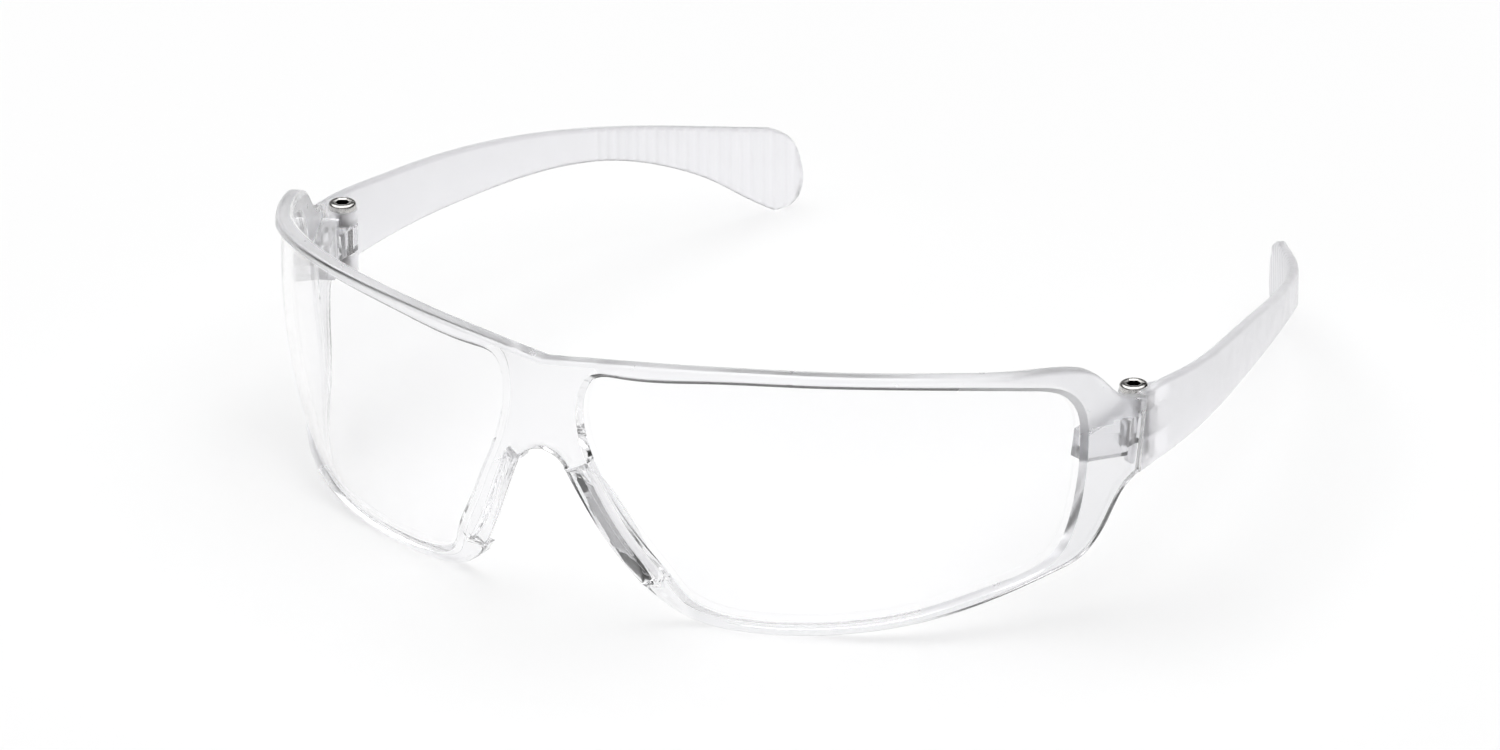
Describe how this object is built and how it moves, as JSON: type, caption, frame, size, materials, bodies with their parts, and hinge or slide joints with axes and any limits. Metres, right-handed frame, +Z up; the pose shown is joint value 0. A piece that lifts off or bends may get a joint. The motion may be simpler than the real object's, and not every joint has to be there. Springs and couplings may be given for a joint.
{
  "type": "safety glasses",
  "caption": "Wrap-around safety glasses: frosted front frame with two clear curved panes, clear nose pads, and curved folding temples with screwed knuckle hinges.",
  "frame": {"origin": "on the table under the middle of the glasses: on the plane of symmetry, at the height of the lower rim and temple tips, halfway between the foremost point of the front and the temple tips", "axes": "+X towards the wearer's left, across the glasses (the side called right in node names is the viewer's right); -Y the way the wearer looks; +Z up"},
  "size_m": [0.1404, 0.1469, 0.0436],
  "materials": {
    "frosted_frame": "clear polycarbonate, finely frosted faces and glossy edges",
    "clear_pane": "clear polycarbonate, optical polish",
    "nose_pad": "clear polycarbonate, glossy",
    "temple": "clear polycarbonate, frosted sides, ribbed grip",
    "screw": "bright steel"
  },
  "bodies": {
    "front": {"front_frame": "frosted_frame", "lens_left": "clear_pane", "lens_right": "clear_pane", "nose_pad_left": "nose_pad", "nose_pad_right": "nose_pad"},
    "temple_left": {"temple_left": "temple", "hinge_screw_left": "screw"},
    "temple_right": {"temple_right": "temple", "hinge_screw_right": "screw"}
  },
  "joints": [
    {"name": "right_temple_fold", "type": "hinge", "parent": "front", "child": "temple_right", "pos_m": [0.066, -0.0193, 0.025], "axis": [0, 0, 1], "range_deg": [0, 90]},
    {"name": "left_temple_fold", "type": "hinge", "parent": "front", "child": "temple_left", "pos_m": [-0.066, -0.0193, 0.025], "axis": [0, 0, 1], "range_deg": [-75, 0]}
  ]
}
